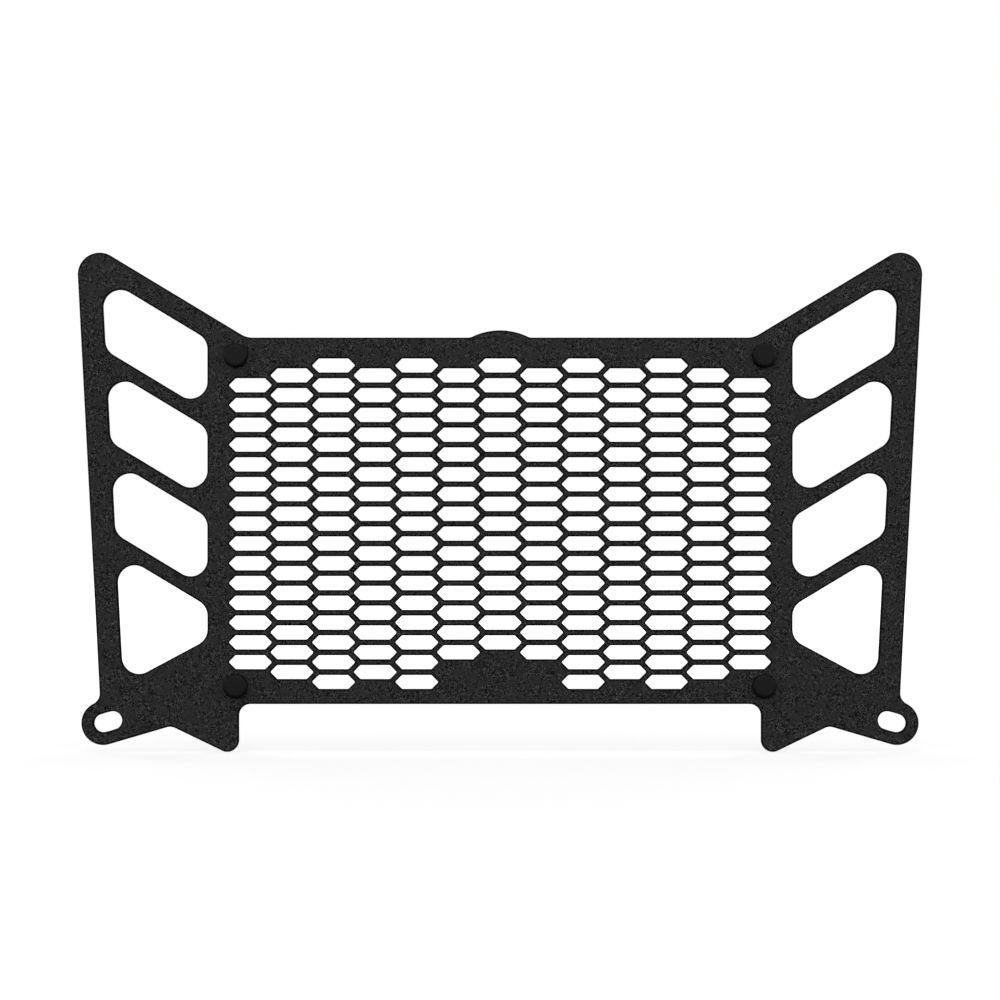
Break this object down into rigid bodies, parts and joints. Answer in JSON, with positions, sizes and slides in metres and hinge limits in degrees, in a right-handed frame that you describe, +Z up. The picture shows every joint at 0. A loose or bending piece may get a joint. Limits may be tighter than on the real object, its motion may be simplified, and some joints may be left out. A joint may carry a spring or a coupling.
{
  "type": "oil cooler guard",
  "caption": "Flat cut-sheet guard for a motorbike's oil cooler, with a hexagon mesh, slanted windows in raised wings, slotted ears and rubber buffers.",
  "frame": {"origin": "midway between the middles of the two ear slots, on the rear face of the sheet", "axes": "+X to the right of someone facing the front, +Y towards the oil cooler behind, +Z up as mounted"},
  "size_m": [0.2902, 0.01, 0.1715],
  "materials": {
    "coated_sheet": "fine-textured matt black powder coat on aluminium sheet",
    "buffer_rubber": "smooth black moulded rubber"
  },
  "bodies": {
    "root": {"guard_panel": "coated_sheet", "rubber_buffers": "buffer_rubber"}
  },
  "joints": []
}
